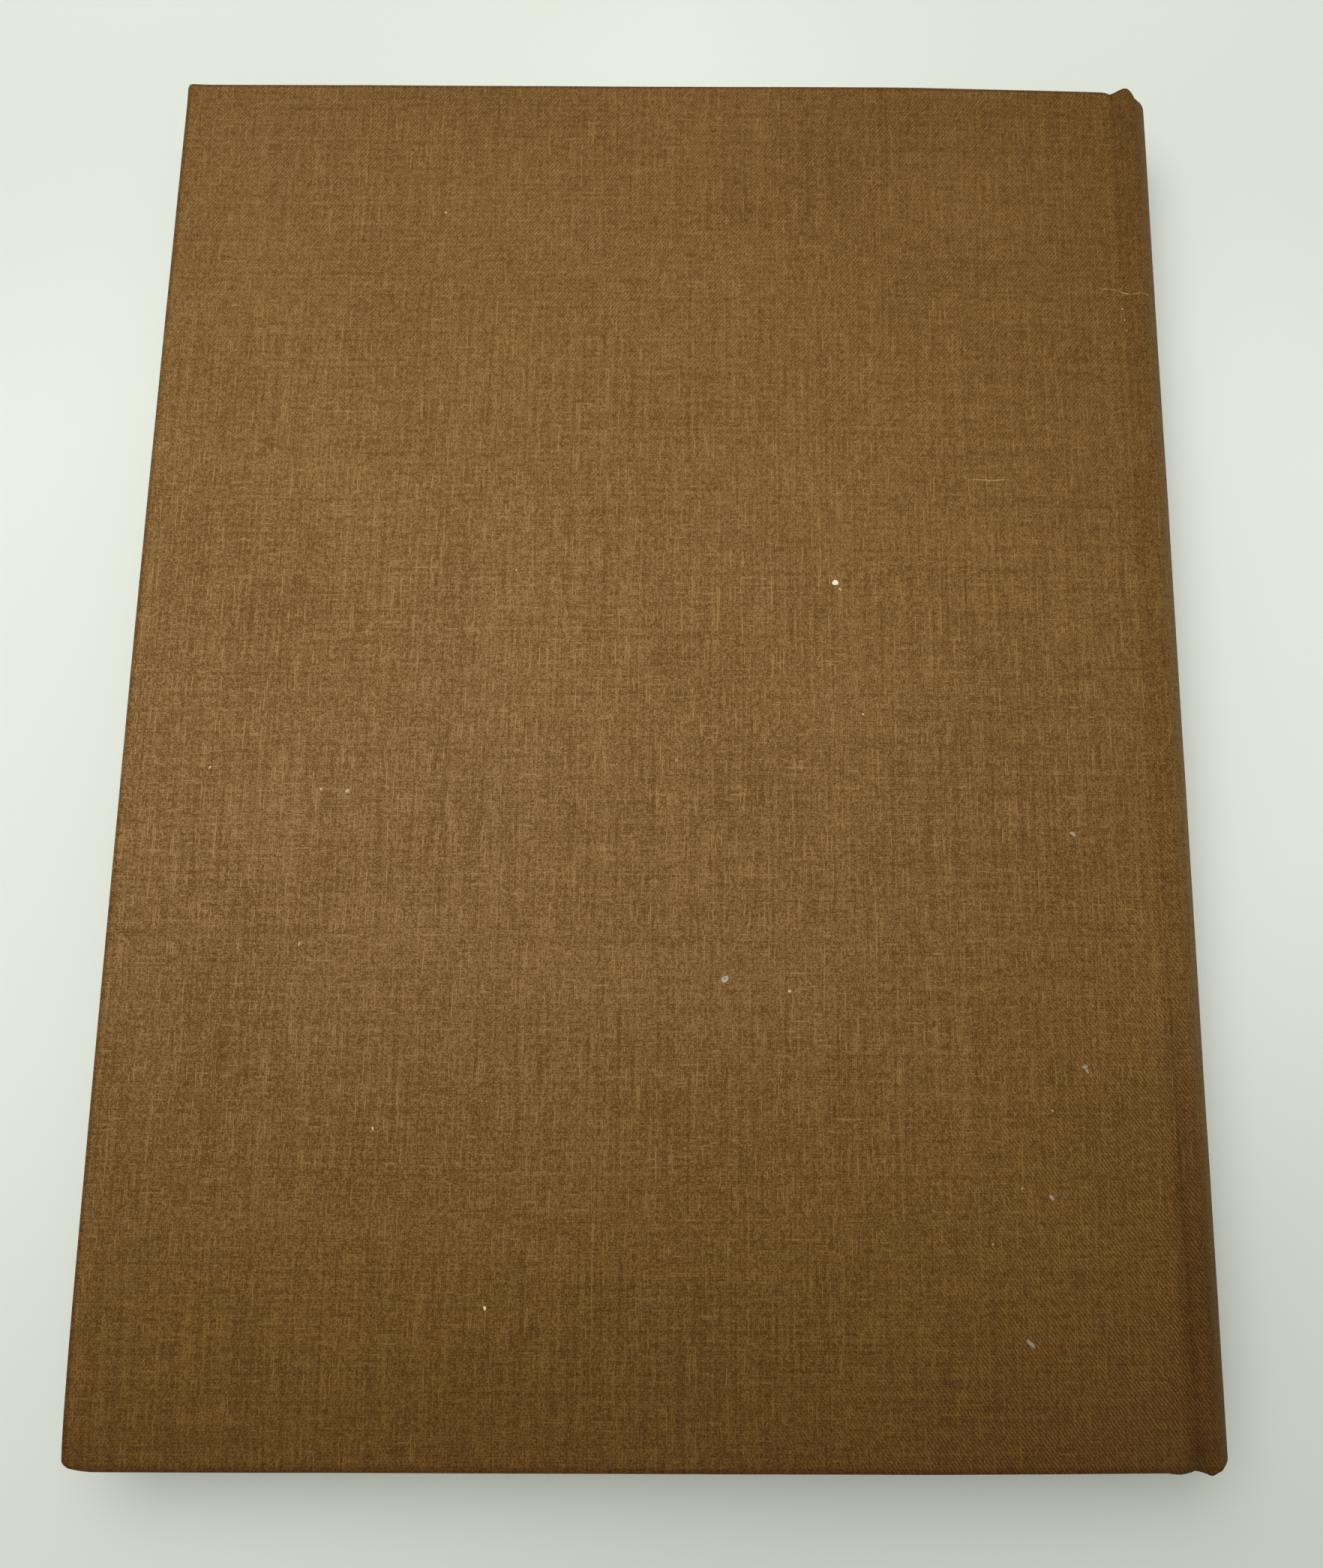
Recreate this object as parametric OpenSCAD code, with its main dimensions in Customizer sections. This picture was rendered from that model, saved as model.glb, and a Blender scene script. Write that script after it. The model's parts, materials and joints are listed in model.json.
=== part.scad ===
/* [Case] */
// Height of a covered board, head to tail
cover_h = 290; // [150:1:380]
// Width of a covered board, fore edge to joint
board_w = 208.5; // [100:0.5:280]
// Thickness of the closed book over its boards
book_t = 20; // [17:0.5:60]
// Thickness of the binder's board
board_t = 2.6; // [1.8:0.1:3]
// Thickness of the covering cloth
cloth_t = 0.4; // [0.3:0.05:0.5]
// Radius of the cloth over the edges of a board
edge_r = 0.9; // [0.6:0.1:1.5]
// Radius of a board's corner, seen from above
corner_r = 1.1; // [0.5:0.1:4]
// Width of the cloth turned in over the edges
turn_in = 15; // [8:1:30]
// Width of the slit between the two turn-ins that meet at a corner
mitre_gap = 0.25; // [0.1:0.05:0.6]

/* [Bumped corner] */
// Length of the bump along the tail edge of the back board
bump_w = 6.2; // [2:0.1:12]
// Depth of the bump, up from the tail edge
bump_h = 2; // [0.5:0.1:5]

/* [Joint] */
// Width of the groove between a board and the spine
groove_w = 4.4; // [3.5:0.1:10]
// Depth of the groove at its lowest line
groove_d = 1.3; // [0.4:0.05:1.4]
// How far the shoulder of the spine lies below the face of a board
crest_drop = 0.4; // [0.2:0.05:0.6]
// How far the cloth of the groove stops short of the boards at head and tail
notch = 0.7; // [0.2:0.1:2]

/* [Spine] */
// How far the back of the spine stands out from its shoulders
bulge = 5.2; // [4.9:0.1:8]
// Radius of the shoulders of the spine
shoulder_r = 4.5; // [3.2:0.1:4.8]
// Thickness of the card that stiffens the spine
inlay_t = 0.6; // [0.3:0.05:0.8]
// Thickness of the paper lining on the back of the pages
lining_t = 0.25; // [0.1:0.05:0.4]
// Thickness of the gauze under the lining
mull_t = 0.25; // [0.1:0.05:0.4]
// Gap of the hollow back, between the turned-in cloth and the lining
hollow = 0.3; // [0.1:0.05:0.5]
// How far the caps stand out past the boards at head and tail
cap_out = 0.6; // [0.1:0.1:2]
// How far the ends of the spine fall back outside the caps
cap_fall = 2.4; // [0.5:0.1:5]
// Width over which a cap falls back, from the shoulder outwards
cap_w = 3; // [1:0.1:4.8]
// How far the card of the spine stops short of the boards' height at each end
inlay_short = 2.6; // [1:0.1:6]
// How far the gauze stops short of the pages at each end
mull_short = 12; // [2:0.5:30]
// Width of a headband, across the back of the pages
band_w = 1.9; // [1:0.1:3]

/* [Pages] */
// How far the boards stand out past the pages
overhang = 3.2; // [1.5:0.1:6]
// Thickness of the endpapers
end_t = 0.2; // [0.1:0.05:0.3]
// Clearance between a closed cover and the first leaf
leaf_gap = 0.1; // [0.05:0.05:0.3]
// Clearance between the endpaper of a cover and the leaf below it, inside the joint
joint_gap = 0.3; // [0.1:0.05:0.5]

/* [Hidden] */

cloth_colour = [0.48, 0.36, 0.2];
paper_colour = [0.91, 0.87, 0.76];
card_colour = [0.62, 0.58, 0.5];
lining_colour = [0.68, 0.55, 0.4];
gauze_colour = [0.86, 0.84, 0.78];
band_colour = [0.8, 0.74, 0.6];

// Reach of the tools that cut, beyond what they cut
past = 1;

// Places along the width, fore edge to spine
overall_w = board_w + groove_w + bulge;
x_fore = -overall_w / 2;
x_board = x_fore + board_w;
x_crest = x_board + groove_w;
x_back = x_crest + bulge;
x_pages = x_fore + overhang;
x_turn = x_fore + cloth_t + turn_in;

// Places along the height, from the middle
y_cover = cover_h / 2;
y_turn = y_cover - cloth_t - turn_in;
y_pages = y_cover - overhang;
y_cap = y_cover + cap_out;

// Depths below the outer face of a closed cover
d_board = cloth_t + board_t;
d_turn = d_board + cloth_t;
d_paste = d_turn + end_t;
d_leaf = d_paste + leaf_gap;
d_text = d_leaf + end_t;

// Round of the spine: two shoulder arcs, joined smoothly by one long arc
z_mid = book_t / 2;
shoulder_h = z_mid - crest_drop - shoulder_r;
spine_r = (shoulder_h^2 + bulge^2 - shoulder_r^2) / (2 * (bulge - shoulder_r));
x_round = x_back - spine_r;
shoulder_a = atan2(shoulder_h, x_crest - x_round);

// Depths of the spine's layers, inwards from the outer face of its cloth
k_inlay = cloth_t + inlay_t;
k_turn = k_inlay + cloth_t;
k_hollow = k_turn + hollow;
k_lining = k_hollow + lining_t;
k_text = k_lining + mull_t;
text_r = spine_r - k_text;

// Depths of the covers' and pages' layers where they reach the shoulder
d_crest_text = crest_drop + k_text;
d_crest_leaf = d_crest_text - end_t;
d_crest_paste = d_crest_leaf - joint_gap - end_t;

// Steps of the curves
groove_steps = 16;
arc_steps = 24;
edge_steps = 6;

// Points of an arc about c, from angle a0 to angle a1
function arc(c, r, a0, a1, n) =
    [for (i = [0:n]) let (a = a0 + (a1 - a0) * i / n) c + r * [cos(a), sin(a)]];

function reversed(list) = [for (i = [len(list) - 1:-1:0]) list[i]];

// Places across the joint, where u runs from 0 at the board to 1 at the shoulder
function joint_x(u) = x_board + groove_w * u;
function groove_depth(u) = groove_d * (1 - cos(360 * u^0.8)) / 2 + crest_drop * u;
function lift(u, board_side, crest_side) = board_side + (crest_side - board_side) * u^1.5;

// The face of a layer across the joint, from its depth at the board and at the shoulder
function joint_face(board_side, crest_side) =
    [for (i = [0:groove_steps]) let (u = i / groove_steps)
        [joint_x(u), book_t - lift(u, board_side, crest_side)]];

function groove_face(k) =
    [for (i = [0:groove_steps]) let (u = i / groove_steps)
        [joint_x(u), book_t - groove_depth(u) - k]];

// The spine's round from shoulder to shoulder, k below the outer face of its cloth
function spine_face(k) = concat(
    arc([x_crest, z_mid + shoulder_h], shoulder_r - k, 90, shoulder_a, edge_steps),
    arc([x_round, z_mid], spine_r - k, shoulder_a, -shoulder_a, arc_steps),
    arc([x_crest, z_mid - shoulder_h], shoulder_r - k, -shoulder_a, -90, edge_steps)
);

// Extrudes an X-Z profile along the height, between two places
module along_y(y0, y1) {
    translate([0, y1, 0])
        rotate([90, 0, 0])
            linear_extrude(y1 - y0)
                children();
}

// Extrudes a Y-Z profile along the width, between two places
module along_x(x0, x1) {
    translate([x0, 0, 0])
        rotate([90, 0, 90])
            linear_extrude(x1 - x0)
                children();
}

module block(x, y, z) {
    translate([x[0], y[0], z[0]])
        cube([x[1] - x[0], y[1] - y[0], z[1] - z[0]]);
}

// Turns a piece of the back cover into its twin on the front
module to_front() {
    translate([0, 0, book_t])
        mirror([0, 0, 1])
            children();
}

// Side view of a board form: round at the fore edge, square at the joint
module board_side(inset, z0, z1) {
    r = edge_r - inset;
    polygon(concat(
        [[x_board, z0], [x_board, z1]],
        arc([x_fore + inset + r, z1 - r], r, 90, 180, edge_steps),
        arc([x_fore + inset + r, z0 + r], r, 180, 270, edge_steps)
    ));
}

// End view of a board form: round at head and tail
module board_end(inset, z0, z1) {
    r = edge_r - inset;
    y = y_cover - inset - r;
    polygon(concat(
        arc([y, z1 - r], r, 0, 90, edge_steps),
        arc([-y, z1 - r], r, 90, 180, edge_steps),
        arc([-y, z0 + r], r, 180, 270, edge_steps),
        arc([y, z0 + r], r, 270, 360, edge_steps)
    ));
}

// Corner at the tail of the fore edge: bumped and pushed in, or sound
function tail_corner(inset, bumped) = bumped
    ? [for (i = [0:edge_steps]) let (a = 90 * i / edge_steps)
        [x_fore + inset + bump_w * (1 - cos(a)), -y_cover + inset + bump_h * (1 - sin(a))]]
    : arc([x_fore + corner_r, -y_cover + corner_r], corner_r - inset, 180, 270, edge_steps);

// View of a board form from above
module board_outline(inset, bumped) {
    polygon(concat(
        [[x_board, -y_cover + inset], [x_board, y_cover - inset]],
        arc([x_fore + corner_r, y_cover - corner_r], corner_r - inset, 90, 180, edge_steps),
        tail_corner(inset, bumped)
    ));
}

// A board, grown or shrunk on every side but the joint
module board_form(inset, z0, z1, bumped) {
    intersection() {
        along_y(-y_cover, y_cover)
            board_side(inset, z0, z1);
        along_x(x_fore, x_board)
            board_end(inset, z0, z1);
        translate([0, 0, z0])
            linear_extrude(z1 - z0)
                board_outline(inset, bumped);
    }
}

module bare_board(bumped) {
    board_form(cloth_t, book_t - d_board, book_t - cloth_t, bumped);
}

// The slits on the diagonals, where the turn-ins meet at the two corners
module mitres() {
    for (side = [-1, 1])
        translate([x_fore, side * y_cover, book_t - d_turn - past])
            rotate([0, 0, -45 * side])
                translate([0, -mitre_gap / 2, 0])
                    cube([2 * (turn_in + cloth_t), mitre_gap, cloth_t + past]);
}

// Cloth of one cover: over the board, turned in at three edges, and down into the groove
module cover_cloth(bumped) {
    difference() {
        board_form(0, book_t - d_turn, book_t, bumped);
        bare_board(bumped);
        block([x_turn, x_board + past], [-y_turn, y_turn], [book_t - d_turn - past, book_t - d_board]);
        mitres();
    }
    along_y(-y_cover + notch, y_cover - notch)
        polygon(concat(groove_face(0), reversed(groove_face(cloth_t))));
    for (side = [0, 1])
        mirror([0, side, 0])
            along_y(y_turn, y_cover - notch)
                polygon(concat(groove_face(0), reversed(groove_face(2 * cloth_t))));
}

// Endpaper pasted to a cover: over the turn-ins at three edges, and into the joint
module pastedown() {
    difference() {
        block([x_pages, x_board], [-y_pages, y_pages], [book_t - d_paste, book_t - d_board]);
        difference() {
            block([x_pages - past, x_board + past], [-y_cover, y_cover],
                [book_t - d_turn, book_t]);
            block([x_turn, x_board + 2 * past], [-y_turn, y_turn],
                [book_t - d_turn - past, book_t + past]);
        }
        block([x_turn + end_t, x_board + past], [-y_turn + end_t, y_turn - end_t],
            [book_t - d_paste - past, book_t - d_board - end_t]);
    }
    along_y(-y_turn, y_turn)
        polygon(concat(
            joint_face(d_board, d_crest_paste),
            reversed(joint_face(d_board + end_t, d_crest_paste + end_t))
        ));
}

// Loose leaf of an endpaper, on the pages and up the shoulder
module flyleaf() {
    along_y(-y_pages, y_pages)
        polygon(concat(
            [[x_pages, book_t - d_leaf]],
            joint_face(d_leaf, d_crest_leaf),
            reversed(joint_face(d_text, d_crest_text)),
            [[x_pages, book_t - d_text]]
        ));
}

// The pages, with a round back, a hollow fore edge and shoulders that flare to the joints
module text_block() {
    flare = joint_face(d_text, d_crest_text);
    page_a = asin((z_mid - d_text) / text_r);
    hollow_centre = [x_pages - text_r * cos(page_a), z_mid];
    color(paper_colour)
        along_y(-y_pages, y_pages)
            polygon(concat(
                flare,
                spine_face(k_text),
                reversed([for (p = flare) [p[0], book_t - p[1]]]),
                arc(hollow_centre, text_r, -page_a, page_a, arc_steps)
            ));
}

// A layer that follows the spine from shoulder to shoulder, between two depths
module round_layer(k0, k1) {
    polygon(concat(spine_face(k0), reversed(spine_face(k1))));
}

// A layer of the spine between two depths, over the long arc alone
module back_layer(k0, k1) {
    polygon(concat(
        arc([x_round, z_mid], spine_r - k0, shoulder_a, -shoulder_a, arc_steps),
        arc([x_round, z_mid], spine_r - k1, -shoulder_a, shoulder_a, arc_steps)
    ));
}

module mull() {
    color(gauze_colour)
        along_y(-y_pages + mull_short, y_pages - mull_short)
            round_layer(k_lining, k_text);
}

module spine_lining() {
    color(lining_colour)
        along_y(-y_pages, y_pages)
            back_layer(k_hollow, k_lining);
}

module inlay_form() {
    along_y(-y_cover + inlay_short, y_cover - inlay_short)
        back_layer(cloth_t, k_inlay);
}

module spine_inlay() {
    color(card_colour)
        inlay_form();
}

// View of the spine from above: caps at the shoulders that fall back to the outside
module spine_outline() {
    cap = [for (i = [0:edge_steps]) let (s = i / edge_steps)
        [x_crest + cap_w * s, y_cap - cap_fall * (1 - cos(180 * s)) / 2]];
    polygon(concat(
        cap,
        [[x_back + past, y_cap - cap_fall], [x_back + past, cap_fall - y_cap]],
        reversed([for (p = cap) [p[0], -p[1]]])
    ));
}

// Cloth of the spine, turned in round the inlay at head and tail
module spine_cloth() {
    color(cloth_colour)
        intersection() {
            difference() {
                union() {
                    along_y(-y_cap, y_cap)
                        round_layer(0, cloth_t);
                    for (side = [0, 1])
                        mirror([0, side, 0])
                            along_y(y_turn, y_cap) {
                                round_layer(0, 2 * cloth_t);
                                back_layer(cloth_t, k_turn);
                            }
                }
                inlay_form();
            }
            linear_extrude(book_t)
                spine_outline();
        }
}

// Headband: a round cord with a flat foot, bent to the back of the pages
module page_band() {
    band_r = band_w / 2;
    translate([x_round, 0, z_mid])
        rotate([90, 0, 0])
            rotate([0, 0, -shoulder_a])
                rotate_extrude(angle = 2 * shoulder_a, $fn = 128)
                    intersection() {
                        translate([text_r - band_r, y_pages + band_r / 2])
                            circle(r = band_r, $fn = 32);
                        translate([text_r - band_w, y_pages])
                            square([band_w, band_w]);
                    }
}

module tail_band() {
    color(band_colour)
        page_band();
}

module head_band() {
    color(band_colour)
        mirror([0, 1, 0])
            page_band();
}

module back_flyleaf() {
    color(paper_colour)
        flyleaf();
}

module front_flyleaf() {
    color(paper_colour)
        to_front()
            flyleaf();
}

module back_board() {
    color(card_colour)
        bare_board(true);
}

module front_board() {
    color(card_colour)
        to_front()
            bare_board(false);
}

module back_cloth() {
    color(cloth_colour)
        cover_cloth(true);
}

module front_cloth() {
    color(cloth_colour)
        to_front()
            cover_cloth(false);
}

module back_pastedown() {
    color(paper_colour)
        pastedown();
}

module front_pastedown() {
    color(paper_colour)
        to_front()
            pastedown();
}

text_block();
mull();
spine_lining();
spine_inlay();
spine_cloth();
head_band();
tail_band();
back_flyleaf();
front_flyleaf();
back_board();
back_cloth();
back_pastedown();
front_board();
front_cloth();
front_pastedown();
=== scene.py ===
import bpy
import bmesh
import json
import math
import numpy as np
from mathutils import Matrix, Vector, noise
from mathutils.bvhtree import BVHTree

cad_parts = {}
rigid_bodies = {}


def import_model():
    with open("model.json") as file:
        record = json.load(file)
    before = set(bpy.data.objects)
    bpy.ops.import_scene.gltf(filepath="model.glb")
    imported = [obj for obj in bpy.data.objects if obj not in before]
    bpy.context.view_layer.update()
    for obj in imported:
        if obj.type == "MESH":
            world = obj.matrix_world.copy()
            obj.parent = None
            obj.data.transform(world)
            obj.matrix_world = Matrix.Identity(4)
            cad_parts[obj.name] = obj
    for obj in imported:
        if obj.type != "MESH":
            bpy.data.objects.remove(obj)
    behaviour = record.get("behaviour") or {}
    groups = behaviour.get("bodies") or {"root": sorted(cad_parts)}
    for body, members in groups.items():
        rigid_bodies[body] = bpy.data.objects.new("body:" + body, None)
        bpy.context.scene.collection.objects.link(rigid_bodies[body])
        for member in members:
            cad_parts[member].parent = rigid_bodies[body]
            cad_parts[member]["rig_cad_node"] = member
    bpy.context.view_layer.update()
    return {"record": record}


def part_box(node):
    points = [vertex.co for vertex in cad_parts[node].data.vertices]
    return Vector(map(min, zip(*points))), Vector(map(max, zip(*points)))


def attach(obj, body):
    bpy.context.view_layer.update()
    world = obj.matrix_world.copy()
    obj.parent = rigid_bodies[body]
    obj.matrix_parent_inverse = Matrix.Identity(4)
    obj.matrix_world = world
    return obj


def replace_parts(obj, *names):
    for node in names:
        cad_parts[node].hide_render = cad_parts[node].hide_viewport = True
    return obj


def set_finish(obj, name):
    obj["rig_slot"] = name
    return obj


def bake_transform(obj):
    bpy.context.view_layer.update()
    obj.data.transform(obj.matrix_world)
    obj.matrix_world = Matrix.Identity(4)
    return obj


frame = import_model()
MM = 0.001


def span(node):
    """Corners of a CAD node in millimetres."""
    lo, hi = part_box(node)
    return np.array(lo) / MM, np.array(hi) / MM


# Places and sizes in millimetres, from the frame
cover_lo, cover_hi = span("back_cloth")
board_lo, board_hi = span("back_board")
leaf_lo, leaf_hi = span("back_flyleaf")
_, spine_hi = span("spine_cloth")
X_FORE, X_CREST, Y_COVER, TOP = cover_lo[0], cover_hi[0], cover_hi[1], cover_hi[2]
X_BOARD, X_BACK = board_hi[0], spine_hi[0]
X_PAGES, Y_PAGES = leaf_lo[0], leaf_hi[1]
CLOTH_T, BOARD_T = TOP - board_hi[2], board_hi[2] - board_lo[2]
GROOVE_W, BULGE, Z_MID = X_CREST - X_BOARD, X_BACK - X_CREST, TOP / 2

# Sizes that the frame doesn't show
EDGE_R, TURN_IN = 0.9, 15.0
CREST_DROP, SHOULDER_R = 0.4, 4.5
INLAY_T, HOLLOW, LINING_T, MULL_T = 0.6, 0.3, 0.25, 0.25
PAPER_T, LEAF_GAP, JOINT_GAP = 0.2, 0.1, 0.3
# The back board bends down towards the joint: depth and width
DIP, DIP_W = 1.3, 49.5
# The groove's depth, and where its lowest line is across the joint, from 0 to 1
GROOVE_LOW, GROOVE_AT = 1.42, 0.30
# The bumped corner at the tail, seen from above
BUMP_W, BUMP_H = 6.2, 2.0
# The cloth's threads: warp and weft pitch
WARP, WEFT = 0.377, 0.507

# How far the cloth's ends stand out past the boards' height, by distance from the joint's start
HEAD_END = ((-2.5, 0), (-.8, -.05), (0, -.25), (.6, -.45), (1.4, -.36), (2, -.06), (2.7, .15), (3.4, .24),
            (4, .15), (4.6, -.16), (5.2, -.82), (5.9, -2.1), (6.5, -2.5), (7.6, -2.65), (9.7, -2.7))
TAIL_END = ((-3.5, 0), (-2, .18), (-1, .25), (0, .15), (.6, .05), (1.2, -.2), (1.8, -.5), (2.3, -.45),
            (3.2, -.3), (3.7, -.2), (4.2, 0), (4.8, .05), (5.4, -.15), (6, -.4), (6.6, -.5), (7.6, -1.1),
            (8.6, -1.6), (9.7, -2))

# The spine's round: a shoulder arc at each side of one long arc
SHOULDER_H = Z_MID - CREST_DROP - SHOULDER_R
SPINE_R = (SHOULDER_H**2 + BULGE**2 - SHOULDER_R**2) / (2 * (BULGE - SHOULDER_R))
X_ROUND = X_BACK - SPINE_R
SHOULDER_A = math.atan2(SHOULDER_H, X_CREST - X_ROUND)
K_TEXT = CLOTH_T + INLAY_T + CLOTH_T + HOLLOW + LINING_T + MULL_T
TEXT_R = SPINE_R - K_TEXT
D_BOARD = CLOTH_T + BOARD_T
D_TURN = D_BOARD + CLOTH_T
D_PASTE = D_TURN + PAPER_T
D_LEAF = D_PASTE + LEAF_GAP
D_TEXT = D_LEAF + PAPER_T
CREST_TEXT = CREST_DROP + K_TEXT
CREST_LEAF = CREST_TEXT - PAPER_T
CREST_PASTE = CREST_LEAF - JOINT_GAP - PAPER_T


def ramp(x, a, b):
    """0 before a, 1 after b and smooth between."""
    t = np.clip((np.asarray(x, float) - a) / (b - a), 0, 1)
    return t * t * (3 - 2 * t)


def dip(x, back):
    """How far the back board bends down towards the joint."""
    if not back:
        return np.zeros_like(x)
    return DIP * np.clip((x - X_BOARD + DIP_W) / DIP_W, 0, 1) ** 1.3


def bow(v):
    """The back cover's fore edge bows out a little between its corners."""
    v = v.copy()
    y = v[..., 1]
    inwards = 0.56 * (y / Y_COVER) ** 2 - 0.11 + 0.55 * np.exp(-np.clip(y + Y_COVER, 0, None) / 12)
    v[..., 0] += inwards * np.clip((X_BOARD - v[..., 0]) / (X_BOARD - X_FORE), 0, 1)
    return v


def joint_u(x):
    """Place across the joint, from 0 at the board to 1 at the crest."""
    return np.clip((x - X_BOARD) / GROOVE_W, 0, 1)


def hermite(t, a, b, slope_a, slope_b):
    """A cubic from a at 0 to b at 1 with the slopes given."""
    return (a * (1 + 2 * t) * (1 - t) ** 2 + b * t * t * (3 - 2 * t)
            + slope_a * t * (1 - t) ** 2 + slope_b * t * t * (t - 1))


def groove(u, back):
    """Depth of the cloth's outer face across the joint."""
    first = DIP if back else 0.0
    down = hermite(np.clip(u / GROOVE_AT, 0, 1), first, GROOVE_LOW, 0.04, 0)
    up = hermite(np.clip((u - GROOVE_AT) / (1 - GROOVE_AT), 0, 1), GROOVE_LOW, CREST_DROP, 0, 0)
    return np.where(u < GROOVE_AT, down, up)


def inner(x, board_side, crest_side, back):
    """Depth of a layer below the board, over the board and across the joint."""
    first = board_side + dip(x, back)
    return first + (crest_side - first) * joint_u(x) ** 1.5


def through(knots, x):
    """A smooth line through knots."""
    kx, ky = np.array(knots, float).T
    step = np.diff(ky) / np.diff(kx)
    slope = np.concatenate([[0], np.where(step[1:] * step[:-1] > 0, (step[1:] + step[:-1]) / 2, 0), [0]])
    k = np.clip(np.searchsorted(kx, x) - 1, 0, len(kx) - 2)
    w = kx[k + 1] - kx[k]
    return hermite(np.clip((x - kx[k]) / w, 0, 1), ky[k], ky[k + 1], slope[k] * w, slope[k + 1] * w)


def rounded(p, scale, amp):
    """Smooth noise at points in millimetres."""
    return np.array([noise.noise(Vector(q) / scale) for q in p]) * amp


def fill(name, verts, faces, uvs=None, marks=None, flip=False, flat_over=40):
    """A mesh object from points in millimetres, with merged doubles and a UV layer in metres."""
    me = bpy.data.meshes.new(name)
    me.from_pydata((np.asarray(verts) * MM).tolist(), [], [tuple(f) for f in faces])
    if uvs is not None:
        layer = me.uv_layers.new(name="cloth")
        layer.data.foreach_set("uv", (np.asarray(uvs) * MM).ravel())
    for key, values in (marks or {}).items():
        me.attributes.new(key, "FLOAT", "POINT").data.foreach_set("value", np.asarray(values, np.float32))
    bm = bmesh.new()
    bm.from_mesh(me)
    bmesh.ops.remove_doubles(bm, verts=bm.verts, dist=2e-6)
    bmesh.ops.dissolve_degenerate(bm, edges=bm.edges, dist=1e-6)
    if flip:
        bmesh.ops.reverse_faces(bm, faces=bm.faces)
    bm.to_mesh(me)
    bm.free()
    me.validate()
    me.set_sharp_from_angle(angle=math.radians(flat_over))
    me.shade_smooth()
    obj = bpy.data.objects.new(name, me)
    bpy.context.scene.collection.objects.link(obj)
    return obj


def corner(v, end, wide, high):
    """Rounds the cover's corner at the head (end 1) or the tail (end -1), seen from above."""
    p = np.clip((X_FORE + wide - v[:, 0]) / wide, 0, 1)
    q = np.clip((end * v[:, 1] - (Y_COVER - high)) / high, 0, 1)
    hit = (p > 0) & (q > 0)
    v[:, 0] = np.where(hit, X_FORE + wide - wide * p * np.sqrt(1 - q * q / 2), v[:, 0])
    v[:, 1] = np.where(hit, end * (Y_COVER - high + high * q * np.sqrt(1 - p * p / 2)), v[:, 1])


def thicken(obj, t):
    """Gives a sheet its thickness, inwards from the face that shows."""
    mod = obj.modifiers.new("thickness", "SOLIDIFY")
    mod.thickness, mod.offset, mod.use_rim = t * MM, -1, True
    bpy.context.view_layer.update()
    me = bpy.data.meshes.new_from_object(obj.evaluated_get(bpy.context.evaluated_depsgraph_get()))
    obj.modifiers.clear()
    obj.data = me
    me.set_sharp_from_angle(angle=math.radians(40))
    return obj


def grid_faces(n, m, start=0):
    """Quads of an n by m grid of points, the second index fastest."""
    i, j = np.meshgrid(np.arange(n - 1), np.arange(m - 1), indexing="ij")
    a = (i * m + j + start).ravel()
    return np.stack([a, a + m, a + m + 1, a + 1], 1)


# Steps in from an edge, finest at the edge
EDGE = np.array([0, .12, .27, .45, .7, 1, 1.4, 1.9, 2.5, 3.2, 4, 5, 6.3, 8, 10, 12.3, 14.1])


def graded(a, b, ends, step):
    """Places from a to b, close together at the ends asked for and about step apart between."""
    first = a + EDGE if ends[0] else np.array([a])
    last = b - EDGE[::-1] if ends[1] else np.array([b])
    n = max(2, int(round((last[0] - first[-1]) / step)))
    return np.concatenate([first, np.linspace(first[-1], last[0], n + 1)[1:-1], last])


# Covering cloth, whose edges go round in steps of 15 degrees
QUARTER = np.radians(np.arange(15, 91, 15))


def ring(r, th):
    """Outward reach and depth of the cloth's edge: over, down, under and turned in."""
    inward = np.array([0.35, 0.8, 1.5, 2.6, 4.5, 8, TURN_IN - EDGE_R])
    reach = np.concatenate([r * np.sin(QUARTER), [r], r * np.cos(QUARTER), -inward])
    depth = np.concatenate([r * (1 - np.cos(QUARTER)), [th / 2], th - r + r * np.sin(QUARTER),
                            np.full(len(inward), th)])
    return reach, depth


def inset_from(grid):
    """Distance of the grid's points from its three open sides, in millimetres."""
    sides = np.minimum(np.abs(grid[..., 1] - grid[:, :1, 1]) / 2, np.abs(grid[..., 1] - grid[:, -1:, 1]))
    return np.minimum(sides, np.abs(grid[..., 0] - grid[:1, :, 0]))


def profile(back):
    """From the fore edge to the spine's middle: place, height and turn of the spine's round."""
    xb = graded(X_FORE + EDGE_R, X_BOARD - 3, (True, False), 2.6)
    xb = np.concatenate([xb, X_BOARD - np.array([2.2, 1.5, 1, .6, .3, 0])])
    u = np.linspace(0, 1, 23)[1:-1]
    arc = np.linspace(math.pi / 2, SHOULDER_A, 16)
    far = np.linspace(SHOULDER_A, 0, 9)[1:]
    x = np.concatenate([xb, X_BOARD + GROOVE_W * u, X_CREST + SHOULDER_R * np.cos(arc),
                        X_ROUND + SPINE_R * np.cos(far)])
    z = np.concatenate([TOP - dip(xb, back), TOP - groove(u, back),
                        Z_MID + SHOULDER_H + SHOULDER_R * np.sin(arc), Z_MID + SPINE_R * np.sin(far)])
    turn = np.zeros_like(x)
    turn[-len(arc) - len(far):] = np.concatenate([math.pi / 2 - arc, math.pi / 2 - far])
    return x, z, turn


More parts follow.
